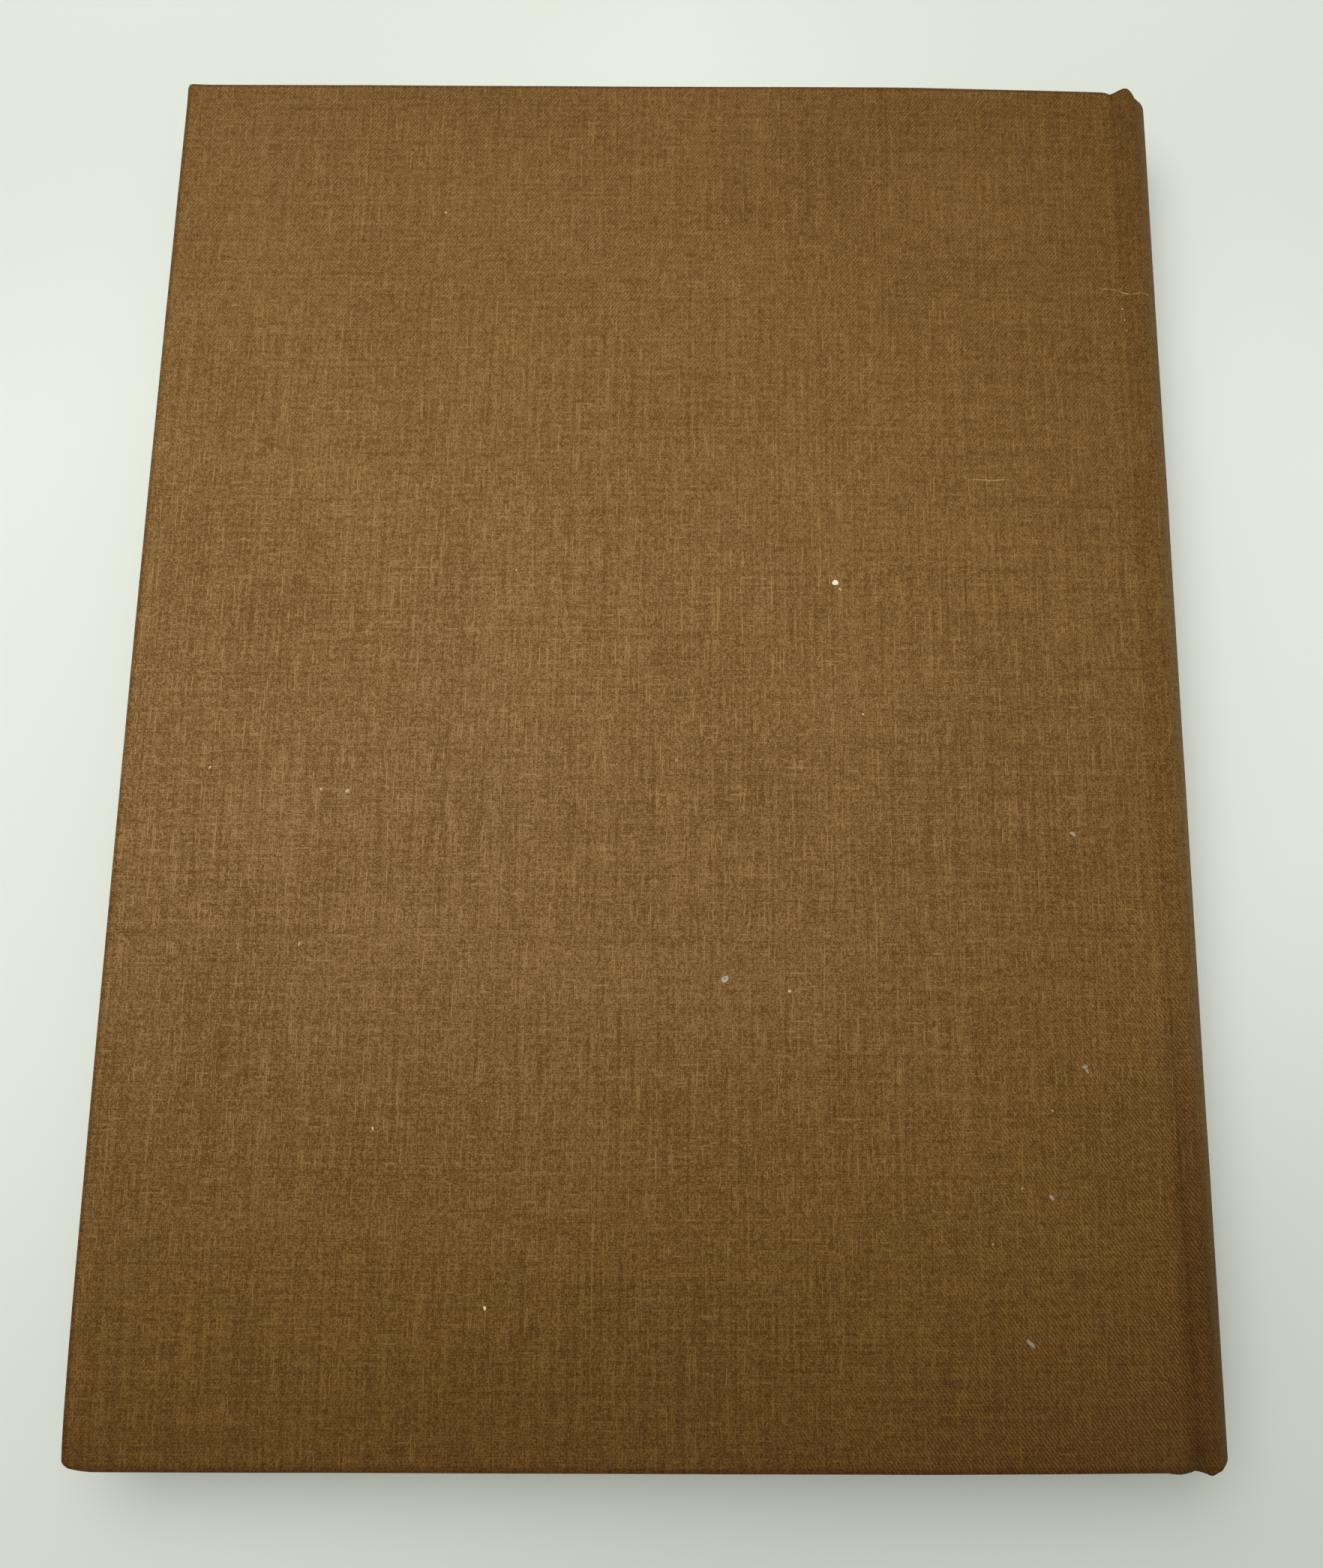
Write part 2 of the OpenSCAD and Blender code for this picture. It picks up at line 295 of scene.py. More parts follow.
def relief(grid, back):
    """How far the cloth's face stands out: slight waves and, on the back's half, the caps' folds."""
    flat = grid.reshape(-1, 3)
    push = rounded(flat, 46, .10) + rounded(flat + 31, 17, .045) + rounded(flat + 77, 6, .018)
    push = push.reshape(grid.shape[:2])
    if not back:
        return np.minimum(push, 0)
    gx, gy = grid[..., 0], grid[..., 1]
    # A pit and folds in the tail's cap, then folds in the head's cap
    push -= 0.45 * np.exp(-((gx - 102) / 1.0) ** 2 - ((gy + 141.9) / 1.6) ** 2)
    crease = np.exp(-((gx - 103.9) / 0.9) ** 2 - ((gy + 143.2) / 1.9) ** 2)
    push += 0.16 * np.sin(2 * math.pi * (gx + 0.12 * gy) / 0.85) * crease
    crease = np.exp(-((gx - 104.2) / 1.3) ** 2 - ((gy - 142.6) / 2.2) ** 2)
    push += 0.10 * np.sin(2 * math.pi * (gx - 0.2 * gy) / 1.1) * crease
    return push


def cloth_marks(v, rim, back):
    """Values for the material at each point: painted shade in the joint, its crease, the board's edges,
    the spine's far side and the tail cap's pit; rubbed places with painted sheen on the spine's round."""
    x, y = v[:, 0], v[:, 1]
    worn = np.maximum(np.exp(-((x - 99) / 7) ** 2 - ((y + 142) / 5) ** 2),
                      0.9 * np.exp(-((x - 107.2) / 1.8) ** 2 - ((y + 135) / 8) ** 2)) * back
    # Painted sheen and wear on the spine's round past the crest, less near the crest
    round_sheen_and_wear = ramp(x, X_CREST, X_CREST + 2.6) * (1 - 0.6 * ramp(np.abs(v[:, 2] - Z_MID), 8.6, 10.6))
    return {
        # Painted shade in the joint's groove, and a thin line of painted shade in its crease
        "joint": ramp(x, X_BOARD, X_BOARD + 2) * (1 - ramp(x, X_CREST + 1.4, X_CREST + 3.4)),
        "crease": np.exp(-((x - X_BOARD - 1.2 - 0.005 * (115 - y)) / 0.30) ** 2),
        "rub": np.maximum(round_sheen_and_wear, worn),
        # Painted shade on the cloth's edges
        "rim": rim,
        # Painted shade on the spine's far side
        "away": ramp(x, X_CREST + 3.0, X_CREST + 4.6),
        # Painted shade in the tail cap's pit
        "pit": np.exp(-((x - 102.0) / 2.0) ** 2 - ((y + 141.2) / 3.6) ** 2) * back,
    }


def case_half(name, back):
    """The cloth of one cover, its joint and the spine up to the middle, in one sheet."""
    x_in, y_in = X_FORE + EDGE_R, Y_COVER - EDGE_R
    x, z, turn = profile(back)
    tx, tz = np.gradient(x), np.gradient(z)
    size = np.hypot(tx, tz)
    nx, nz = -tz / size, tx / size
    nx[-1], nz[-1] = 1, 0
    along = np.concatenate([[0], np.cumsum(np.hypot(np.diff(x), np.diff(z)))])
    thick = D_TURN + (2.4 * CLOTH_T - D_TURN) * ramp(joint_u(x), 0.02, 0.3)
    thick = thick + (2 * CLOTH_T + INLAY_T - thick) * ramp(turn, 0.5, 1.1)
    radius = np.minimum(EDGE_R, thick / 2)
    y_end = {s: Y_COVER - radius + through(knots, x - X_BOARD)
             for s, knots in ((1, HEAD_END), (-1, TAIL_END))}
    rows = graded(-y_in, y_in, (True, True), 2.8)
    m, n = len(rows), len(x)
    near = ramp(np.abs(rows), y_in - 9, y_in)
    y = rows[None, :] + near * np.where(rows > 0, (y_end[1] - y_in)[:, None], (y_in - y_end[-1])[:, None])
    grid = np.stack([np.repeat(x[:, None], m, 1), y, np.repeat(z[:, None], m, 1)], -1)
    normal = np.stack([nx, np.zeros(n), nz], -1)
    grid = grid + normal[:, None, :] * relief(grid, back)[..., None]

    plane = np.stack([np.repeat(along[:, None], m, 1), y], -1).reshape(-1, 2)
    quads = grid_faces(n, m)
    verts, faces, uvs = [grid.reshape(-1, 3)], quads.tolist(), [plane[quads.ravel()]]
    count = n * m

    # Round the three open sides the cloth goes over the board's edge and is turned in
    reach0, depth0 = ring(EDGE_R, D_TURN)
    levels = len(reach0)
    run = np.concatenate([[0], np.cumsum(np.hypot(np.diff(np.concatenate([[0], reach0])),
                                                   np.diff(np.concatenate([[0], depth0]))))])[1:]

    def side(points, directions, rs, ths, down, room, base_uv, uv_dir, first):
        """Rings of points on from one side of the grid, and the faces between them."""
        nonlocal count
        k = len(points)
        ids = [first]
        rings_uv = [base_uv]
        table = [ring(r, t) for r, t in zip(rs, ths)]
        for lv in range(levels):
            reach = np.array([t[0][lv] for t in table])
            depth = np.array([t[1][lv] for t in table])
            reach = np.where(reach < 0, -np.minimum(-reach, room), reach)
            pos = points + directions * reach[:, None] - down * depth[:, None]
            verts.append(pos)
            ids.append(np.arange(count, count + k))
            count += k
            rings_uv.append(base_uv + uv_dir * run[lv])
        for lv in range(levels):
            a, b = ids[lv], ids[lv + 1]
            for q in range(k - 1):
                faces.append([a[q], a[q + 1], b[q + 1], b[q]])
                uvs.append(np.array([rings_uv[lv][q], rings_uv[lv][q + 1],
                                     rings_uv[lv + 1][q + 1], rings_uv[lv + 1][q]]))

    idx = np.arange(n * m).reshape(n, m)
    for s, col in ((-1, 0), (1, m - 1)):
        pts, room = grid[:, col], np.clip(x - x_in, 0, None)
        d = np.zeros((n, 3))
        d[:, 1] = s
        d[0, 0] = -1
        order = slice(None, None, -1) if s < 0 else slice(None)
        side(pts[order], d[order], radius[order], thick[order], normal[order], room[order],
             np.stack([along, y[:, col]], -1)[order], np.array([0, s]), idx[:, col][order])
    d = np.zeros((m, 3))
    d[:, 0] = -1
    d[0, 1], d[-1, 1] = -1, 1
    side(grid[0], d, np.full(m, EDGE_R), np.full(m, D_TURN), np.repeat(normal[:1], m, 0),
         np.clip(y_in - np.abs(rows), 0, None), np.stack([np.zeros(m), y[0]], -1),
         np.array([-1, 0]), idx[0])
    v = np.concatenate(verts)

    # Rounded corners, with the back's bumped in at the tail, where it bends down, and lifted at the head
    corners = [(1, 1.5, 1.5), (-1, BUMP_W, BUMP_H)] if back else [(1, 1.3, 1.3), (-1, 1.4, 1.4)]
    for end, wide, high in corners:
        corner(v, end, wide, high)
    if back:
        from_head = np.hypot(v[:, 0] - X_FORE, v[:, 1] - Y_COVER)
        v[:, 2] += 0.25 * np.exp(-(from_head / 3.0) ** 2)
        from_tail = np.hypot((v[:, 0] - X_FORE) / 1.6, v[:, 1] + Y_COVER)
        v[:, 2] -= 0.22 * np.exp(-(from_tail / 3.2) ** 2) * (v[:, 2] > TOP - 1.5)
    v = bow(v) if back else v * (1, 1, -1) + (0, 0, TOP)
    # Painted shade on the cloth's edges, the turned-in parts and the last half millimetre inside them
    rim = np.concatenate([ramp(-inset_from(grid), -0.5, 0.2).ravel(), np.ones(len(v) - n * m)])
    return fill(name, v, faces, np.concatenate(uvs), cloth_marks(v, rim, back), flip=back)


def outward(obj, point):
    """Turns the faces of a sheet so that the one nearest to the point faces it."""
    me = obj.data
    c = np.array([p.center for p in me.polygons])
    nn = np.array([p.normal for p in me.polygons])
    k = np.argmin(((c - np.array(point) * MM) ** 2).sum(1))
    if nn[k] @ (np.array(point) * MM - c[k]) < 0:
        me.flip_normals()


cloth = {}
for tag, back in (("back", True), ("front", False)):
    obj = case_half("cloth_" + tag, back)
    outward(obj, (0, 0, 200 if back else -200))
    cloth[tag] = thicken(obj, CLOTH_T)
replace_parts(cloth["back"], "back_cloth", "spine_cloth")
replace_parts(cloth["front"], "front_cloth")
# Each half's place goes into its mesh, and it takes the cloth's finish
for tag, zc in (("back", TOP), ("front", 0.0)):
    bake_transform(cloth[tag])
    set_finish(cloth[tag], "book_cloth")


# Boards, endpapers, leaves
def slab(name, x, y, z_top, z_low):
    """A closed solid between two height fields over the same grid of x and y."""
    n, m = len(x), len(y)
    gx, gy = np.meshgrid(x, y, indexing="ij")
    top = np.stack([gx, gy, z_top], -1).reshape(-1, 3)
    low = np.stack([gx, gy, z_low], -1).reshape(-1, 3)
    up = grid_faces(n, m)
    down = grid_faces(n, m, n * m)[:, ::-1]
    idx = np.arange(n * m).reshape(n, m)
    loop = np.concatenate([idx[:, 0], idx[-1, 1:], idx[-2::-1, -1], idx[0, -2:0:-1]])
    nxt = np.roll(loop, -1)
    rim = np.stack([loop, loop + n * m, nxt + n * m, nxt], 1)
    plane = np.concatenate([np.stack([gx, gy], -1).reshape(-1, 2)] * 2)
    faces = np.concatenate([up, down, rim])
    return fill(name, np.concatenate([top, low]), faces.tolist(), plane[faces.ravel()])


def recalc(obj):
    """Turns all faces of a closed piece outwards."""
    bm = bmesh.new()
    bm.from_mesh(obj.data)
    bmesh.ops.recalc_face_normals(bm, faces=bm.faces)
    bm.to_mesh(obj.data)
    bm.free()
    obj.data.set_sharp_from_angle(angle=math.radians(40))
    return obj


def joint_xs(x0):
    """Places across a leaf and its joint."""
    return np.concatenate([graded(x0, X_BOARD - 2, (True, False), 4), X_BOARD - np.array([1, .4, 0]),
                           X_BOARD + GROOVE_W * np.linspace(0, 1, 13)[1:]])


def board(name, back):
    """A cover's board, a little shorter at the joint, where the ends of the cloth draw in."""
    x = np.concatenate([graded(X_FORE + CLOTH_T, X_BOARD - 3, (True, False), 4),
                        X_BOARD - np.array([2, 1.2, .7, .3, 0])])
    y = graded(-Y_COVER + CLOTH_T, Y_COVER - CLOTH_T, (True, True), 6)
    gx, gy = np.meshgrid(x, y, indexing="ij")
    # The board has a rounded edge and keeps clear of the cloth's slight waves
    edge, round_r, clear = np.minimum(gx - x[0], y[-1] - np.abs(gy)), 0.5, 0.14
    bevel = round_r - np.sqrt(np.clip(round_r**2 - np.clip(round_r - edge, 0, round_r) ** 2, 0, None))
    top = TOP - CLOTH_T - clear - dip(gx, back) - bevel
    obj = slab(name, x, y, top, top - BOARD_T + clear + 2 * bevel)
    v = np.array([q.co for q in obj.data.vertices]) / MM
    # Its ends draw in at the joint
    short = 0.6 * ramp(v[:, 0], X_BOARD - 3, X_BOARD - 0.6)
    short *= ramp(np.abs(v[:, 1]), Y_COVER - 3, Y_COVER - CLOTH_T)
    v[:, 1] -= np.sign(v[:, 1]) * short
    if back:
        # Bumped a little more than the cloth over it
        corner(v, -1, BUMP_W + 0.2, BUMP_H + 0.2)
        v = bow(v)
    else:
        v = v * (1, 1, -1) + (0, 0, TOP)
    obj.data.vertices.foreach_set("co", (v * MM).ravel())
    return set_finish(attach(recalc(obj), "back_cover" if back else "front_cover"), "binders_board")


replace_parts(board("board_back", True), "back_board")
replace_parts(board("board_front", False), "front_board")


def pastedown(name, back):
    """The endpaper's pasted half: over the turn-ins, into the joint and folded on to the leaf below."""
    x = joint_xs(X_PAGES)
    step = np.array([-.3, 0, .3, .7, 1.2, 1.8])
    bend = X_CREST - np.arange(0.05, 1.8, 0.1)
    x = np.sort(np.concatenate([x[x < bend[-1]], X_FORE + TURN_IN + CLOTH_T + step, bend, [X_CREST]]))
    y_turn = Y_COVER - TURN_IN - CLOTH_T
    y = graded(-Y_PAGES, Y_PAGES, (True, True), 5)
    y = np.unique(np.round(np.concatenate([y, y_turn - step, step - y_turn]), 4))
    gx, gy = np.meshgrid(x, y, indexing="ij")
    over = np.maximum(1 - ramp(gx, X_FORE + TURN_IN, X_FORE + TURN_IN + 1.7),
                      ramp(np.abs(gy), y_turn - 1.4, y_turn + .3))
    face = inner(gx, D_BOARD + PAPER_T, CREST_PASTE + PAPER_T, back)
    face = face + over * CLOTH_T * (1 - joint_u(gx) ** 2)
    wave = rounded(np.stack([gx, gy, gx * 0 + (5 if back else 90)], -1).reshape(-1, 3), 30, .05)
    wave = wave.reshape(gx.shape)
    face = face + wave * (1 - joint_u(gx)) * ramp(gx, X_PAGES, X_PAGES + 4)
    face = np.minimum(face, inner(gx, D_PASTE + 0.02, CREST_PASTE + PAPER_T, back))
    # The fold at the crest, from the pasted half down to the loose one
    z0, z1 = CREST_PASTE + PAPER_T, CREST_LEAF
    mid, r = (z0 + z1) / 2, (z1 - z0) / 2
    ang = np.radians(np.arange(15, 181, 15))
    px = X_CREST + r * np.sin(ang)
    pz = mid - r * np.cos(ang)
    rowx = np.concatenate([x, px])
    zz = np.concatenate([TOP - face, np.repeat((TOP - pz)[:, None], len(y), 1)])
    pts = np.stack([np.repeat(rowx[:, None], len(y), 1), np.repeat(y[None], len(rowx), 0), zz], -1)
    pts = pts.reshape(-1, 3)
    if not back:
        pts[:, 2] = TOP - pts[:, 2]
    quads = grid_faces(len(rowx), len(y))
    obj = fill(name, pts, quads.tolist(), pts[quads.ravel()][:, :2])
    outward(obj, (0, 0, Z_MID))
    thicken(obj, PAPER_T)
    zc = TOP - CREST_PASTE if back else CREST_PASTE
    zc * MM
    zc * MM
    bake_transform(obj)
    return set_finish(obj, "end_paper")


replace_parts(pastedown("pastedown_back", True), "back_pastedown")
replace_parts(pastedown("pastedown_front", False), "front_pastedown")

lx = joint_xs(X_PAGES)
ly = graded(-Y_PAGES, Y_PAGES, (False, False), 12)
leaf_x, _ = np.meshgrid(lx, ly, indexing="ij")
fly = recalc(slab("flyleaf_back", lx, ly, TOP - inner(leaf_x, D_LEAF, CREST_LEAF, True),
                  TOP - inner(leaf_x, D_TEXT, CREST_TEXT, True)))
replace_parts(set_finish(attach(fly, "pages"), "end_paper"), "back_flyleaf")


# Pages
def pages():
    """The cut edges of the leaves, their rounded back and the hollow fore edge."""
    rng = np.random.default_rng(7)
    # Leaves are drawn thicker than real ones, and every eighth gap is the deeper one between sections
    leaves, per = 120, 8
    page_a = math.asin((Z_MID - D_TEXT) / TEXT_R)
    centre = X_PAGES - TEXT_R * math.cos(page_a)
    # Levels from the lowest leaf up: height from 0 to 1, leaf, and depth of the gap after each leaf
    levels = [(0.0, 0, 0.0)]
    for i in range(leaves):
        gap = 0.06 + (0.05 if (i + 1) % per == 0 else 0)
        levels += [((i + part) / leaves, i, inset)
                   for part, inset in ((0.10, 0.0), (0.90, 0.0), (1.0, gap))]
    f, leaf, dent = (np.array(column) for column in zip(*levels))
    dent[-1] = 0
    off = rng.normal(0, 0.045, (leaves, 3)) + np.repeat(rng.normal(0, 0.05, (leaves // per, 3)), per, 0)
    off = np.clip(off, -0.16, 0.16)[leaf]

    def span_z(x):
        """Heights between which the pages lie."""
        low = inner(x, D_TEXT, CREST_TEXT, False)
        high = TOP - inner(x, D_TEXT, CREST_TEXT, True)
        return low, high

    lo0, hi0 = span_z(np.array([X_PAGES]))
    zf = lo0 + f * (hi0 - lo0)
    x_fore = centre + np.sqrt(np.clip(TEXT_R**2 - (zf - Z_MID) ** 2, 0, None))
    zb = CREST_TEXT + f * (TOP - 2 * CREST_TEXT)
    dz = np.abs(zb - Z_MID)
    long_arc = X_ROUND + np.sqrt(np.clip(TEXT_R**2 - dz**2, 0, None))
    past = np.clip(dz - SHOULDER_H, 0, None)
    small = X_CREST + np.sqrt(np.clip((SHOULDER_R - K_TEXT) ** 2 - past**2, 0, None))
    x_back = np.where(dz < TEXT_R * math.sin(SHOULDER_A), long_arc, small)
    # Round the pages: fore edge, head, back and tail, with close steps at the corners
    s = np.concatenate([[0, .002, .006, .02], np.linspace(.06, .94, 20),
                        .94 + .06 * np.linspace(0, 1, 13)[1:]])
    ys = np.linspace(-1, 1, 41)
    way = ([("fore", t) for t in ys] + [("head", t) for t in s[1:]] + [("back", -t) for t in ys[1::4]]
           + [("tail", t) for t in s[::-1][1:-1]])
    pts = np.zeros((len(way), len(f), 3))
    for k, (where, t) in enumerate(way):
        if where in ("head", "tail"):
            x = x_fore + (x_back - x_fore) * t
            sign = 1 if where == "head" else -1
            wob = rounded([(t * 200, sign * 50, q * 13) for q in f], 9, 0.035)
            y = sign * (Y_PAGES - dent - 0.08 + off[:, 1 if sign > 0 else 2] * 0.7 + wob)
            y = sign * np.minimum(sign * y, Y_PAGES)
        elif where == "fore":
            y = t * (Y_PAGES - 0.1) * np.ones_like(f)
            wob = rounded([(t * 145, 11, q * 13) for q in f], 12, 0.05)
            x = x_fore + 0.1 + off[:, 0] + dent + wob
        else:
            y, x = t * (Y_PAGES - 0.1) * np.ones_like(f), x_back
        low, high = span_z(np.minimum(x, X_CREST))
        pts[k] = np.stack([x, y, low + f * (high - low)], -1)
    n, m = len(way), len(f)
    quads = grid_faces(n, m)
    last = np.stack([np.arange((n - 1) * m, n * m - 1), np.arange(m - 1), np.arange(1, m),
                     np.arange((n - 1) * m + 1, n * m)], 1)
    verts, faces = pts.reshape(-1, 3), [*quads.tolist(), *last.tolist()]
    # The lowest and the highest leaf's faces, between the head's and the tail's edge
    at = {side: [k for k, w in enumerate(way) if w[0] == side]
          for side in ("fore", "head", "back", "tail")}
    rail_a = [at["fore"][-1], *at["head"]]
    rail_b = [at["fore"][0], *at["tail"][::-1], at["back"][-1]]
    for lv in (0, m - 1):
        for q in range(len(rail_a) - 1):
            faces.append([k * m + lv for k in (rail_b[q], rail_b[q + 1], rail_a[q + 1], rail_a[q])])
    return recalc(fill("pages_cut", verts, faces, flat_over=180))


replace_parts(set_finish(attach(pages(), "pages"), "page_paper"), "text_block")


def band(name, s):
    """A headband: cord with a thread wound round it, bent to the back of the pages."""
    wraps, per, sides, r = 24, 8, 16, 0.95
    t = np.linspace(-1, 1, wraps * per + 1)
    phase = t * wraps * math.pi
    rad = r * (0.9 + 0.1 * np.abs(np.cos(phase)))
    rad = np.concatenate([[0.02], rad[1:-1], [0.02]])
    ang = np.linspace(0, 2 * math.pi, sides, endpoint=False)
    a = t * SHOULDER_A
    ring_r = TEXT_R - r + rad[:, None] * np.cos(ang)
    x = X_ROUND + ring_r * np.cos(a)[:, None]
    z = Z_MID + ring_r * np.sin(a)[:, None]
    y = s * (Y_PAGES + r / 2 + rad[:, None] * np.sin(ang))
    pts = np.stack([x, y, z], -1)
    n = len(t)
    idx = np.arange(n * sides).reshape(n, sides)
    nxt = np.roll(idx, -1, 1)
    quads = np.stack([idx[:-1], nxt[:-1], nxt[1:], idx[1:]], -1).reshape(-1, 4).tolist()
    quads += [idx[0][::-1].tolist(), idx[-1].tolist()]
    obj = recalc(fill(name, pts.reshape(-1, 3), quads))
    colour = np.repeat((np.floor(phase / (2 * math.pi) + 0.5) % 2)[:, None], sides, 1).ravel()
    obj.data.attributes.new("thread", "FLOAT", "POINT").data.foreach_set("value", colour.astype(np.float32))
    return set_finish(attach(obj, "pages"), "band_thread")


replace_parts(band("band_head", 1), "head_band")
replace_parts(band("band_tail", -1), "tail_band")

TREE = BVHTree.FromObject(cloth["back"], bpy.context.evaluated_depsgraph_get())


def seat(x, y):
    """Place on the back cover's cloth, seen from above."""
    return np.array(TREE.ray_cast(Vector((x * MM, y * MM, 0.1)), Vector((0, 0, -1)))[0]) / MM


# Flecks of paint and dust: x, y, half length, half width, angle, height, colour
WHITE, SAND, ORANGE = (.92, .80, .56), (.60, .47, .30), (.72, .54, .33)
DARK = (.06, .032, .009)
FLECKS = (
    (36.4, 27.1, .92, .66, 0, .16, WHITE), (37.4, 25.7, .55, .20, -55, .07, SAND),
    (41.8, -1.1, .31, .22, 0, .08, ORANGE), (26.5, -57.1, .45, .36, -20, .08, SAND),
    (-31, -116.1, .52, .28, 95, .10, (.80, .66, .42)), (-48.9, 112.7, .32, .28, 0, .08, (.62, .45, .27)),
    (-30.3, 29.6, .28, .24, 90, .08, (.62, .45, .27)), (-53.9, -83.5, .45, .22, 100, .08, ORANGE),
    (3.6, -10.8, .36, .32, 0, .05, (.46, .33, .20)), (-62.7, -17.5, .62, .42, 15, .07, (.52, .42, .32)),
    (-62.5, -18.2, .36, .16, 0, .12, DARK), (-68.4, -19.3, .44, .26, 70, .04, (.34, .24, .14)),
    (-68.1, -17.1, .40, .32, 0, .08, SAND), (-90.9, -12.7, .46, .24, 65, .07, SAND),
    (-70.4, -48.2, .72, .30, 72, .07, (.40, .33, .25)),
    (13.8, -54.8, 1.15, .95, 20, .06, (.42, .36, .29)),
    (13.8, -54.7, .55, .42, 0, .10, (.22, .175, .14)),
    (83.8, -25.6, 1.0, .46, -38, .06, (.38, .30, .22)), (84.1, -71.5, 1.0, .46, 5, .05, (.31, .25, .2)),
    (84.5, -72.3, .75, .32, -58, .05, (.31, .25, .2)),
    (77.4, -79.8, .40, .24, -15, .05, (.38, .27, .16)),
    (70.9, -94.2, .36, .24, -20, .05, (.40, .29, .18)), (76.5, -95.9, .9, .42, -52, .05, (.31, .25, .2)),
    (71.6, -122.3, 1.5, .52, -48, .05, (.27, .22, .165)),
    (64.9, -104.4, .30, .24, 0, .05, (.44, .31, .20)), (23.9, -50.1, .50, .20, 0, .03, DARK),
    (-69.8, -60.8, .56, .42, -10, .03, (.07, .045, .02)),
    (-105.3, 140.2, .80, .32, 55, .02, (.26, .165, .085)),
    (-106.6, 139.5, .60, .22, 60, .02, (.24, .15, .08)), (100.1, 90.8, .26, .20, 90, .06, ORANGE),
    (100.5, 88.2, .24, .2, 90, .06, SAND), (100.8, 85.7, .2, .16, 90, .05, ORANGE),
)
# Slubs, thicker stretches of one thread: both ends and the width
SLUBS = (((-11.7, -85), (-10.8, -119.1), .16), ((-40.3, -24.1), (-39.6, -39.6), .18),
         ((-20.7, 135.7), (-20.2, 118.8), .18), ((79.4, 143.5), (78.4, 126.7), .20),
         ((-71.5, 42.6), (-57.4, 42.6), .20), ((64.3, 50.2), (74.2, 50.3), .42))
# A fine crack in the cloth across the joint
CRACK = ((95.4, 95.5), (97.6, 95.5), (99.2, 95.2), (102.1, 94.1), (104.3, 94), (106.3, 93.8))


def flecks():
    """One mesh of small lumps and thick threads, and the colour of each vertex."""
    rng = np.random.default_rng(3)
    verts, faces, tints = [], [], []
    sides = 9
    for x, y, a, b, angle, tall, colour in FLECKS:
        t = np.linspace(0, 2 * math.pi, sides + 1)[:-1]
        w = rng.uniform(0.75, 1.15, sides)
        c, s = math.cos(math.radians(angle)), math.sin(math.radians(angle))
        px, py = a * w * np.cos(t), b * w * np.sin(t)
        around = np.array([seat(x + p * c - q * s, y + p * s + q * c) for p, q in zip(px, py)])
        mid = seat(x, y)
        k = sum(len(v) for v in verts)
        verts.append(np.concatenate([around - (0, 0, 0.02), [mid + (0, 0, tall), mid - (0, 0, 0.05)]]))
        faces += [(k + i, k + (i + 1) % sides, k + sides) for i in range(sides)]
        faces += [(k + (i + 1) % sides, k + i, k + sides + 1) for i in range(sides)]
        tints += [colour] * (sides + 2)
    # The slubs darken towards the head and the tail with the cloth's painted light and shade
    strands = [(a, b, w, tuple(np.array((.36, .225, .105)) * math.exp(-0.35 * (a[1] / 100) ** 2)))
               for a, b, w in SLUBS]
    strands += [(a, b, .22, (.42, .31, .17)) for a, b in zip(CRACK[:-1], CRACK[1:])]
    for a, b, wide, colour in strands:
        a, b = np.array(a), np.array(b)
        n = max(4, int(np.linalg.norm(b - a) / 0.6))
        across = np.array([a[1] - b[1], b[0] - a[0]]) / np.linalg.norm(b - a)
        k = sum(len(v) for v in verts)
        for i in range(n + 1):
            t = i / n
            full = min(1, 4 * t + 0.2, 4 * (1 - t) + 0.2)
            c = a + (b - a) * t + across * (0.10 * math.sin(t * 9 + a[1]) * full + rng.normal(0, 0.03))
            w = wide / 2 * full * rng.uniform(0.75, 1.2)
            verts.append(np.array([seat(*(c - across * w)) - (0, 0, .02), seat(*c) + (0, 0, .05 * full),
                                   seat(*(c + across * w)) - (0, 0, .02)]))
            tints += [colour] * 3
        for i in range(n):
            q = k + 3 * i
            faces += [(q, q + 3, q + 4, q + 1), (q + 1, q + 4, q + 5, q + 2), (q + 2, q + 5, q + 3, q)]
        faces += [(k, k + 1, k + 2), (k + 3 * n + 2, k + 3 * n + 1, k + 3 * n)]
    obj = recalc(fill("cloth_flecks", np.concatenate(verts), faces))
    return obj, tints


spots, colours = flecks()
tint = spots.data.attributes.new("tint", "FLOAT_COLOR", "POINT")
rgba = np.concatenate([np.array(colours), np.ones((len(colours), 1))], 1)[:len(tint.data)]
tint.data.foreach_set("color", rgba.astype(np.float32).ravel())
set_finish(spots, "book_cloth")
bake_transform(spots)


# Materials
class Val:
    """A number in a node tree, with the usual arithmetic."""
    tree = None

    def __init__(self, socket):
        self.s = socket

    @staticmethod
    def op(kind, *args):
        node = Val.tree.nodes.new("ShaderNodeMath")
        node.operation = kind
        for k, a in enumerate(args):
            if isinstance(a, Val):
                Val.tree.links.new(a.s, node.inputs[k])
            else:
                node.inputs[k].default_value = float(a)
        return Val(node.outputs[0])

    def __add__(self, o):
        return Val.op("ADD", self, o)

    def __radd__(self, o):
        return Val.op("ADD", o, self)

    def __sub__(self, o):
        return Val.op("SUBTRACT", self, o)

    def __rsub__(self, o):
        return Val.op("SUBTRACT", o, self)

    def __mul__(self, o):
        return Val.op("MULTIPLY", self, o)

    def __rmul__(self, o):
        return Val.op("MULTIPLY", o, self)

    def __truediv__(self, o):
        return Val.op("DIVIDE", self, o)


def whole(a):
    return Val.op("FLOOR", a)


def fract(a):
    return Val.op("FRACT", a)


def cosine(a):
    return Val.op("COSINE", a)


def absolute(a):
    return Val.op("ABSOLUTE", a)


def top_of(a, b):
    return Val.op("MAXIMUM", a, b)


def least(a, b):
    return Val.op("MINIMUM", a, b)


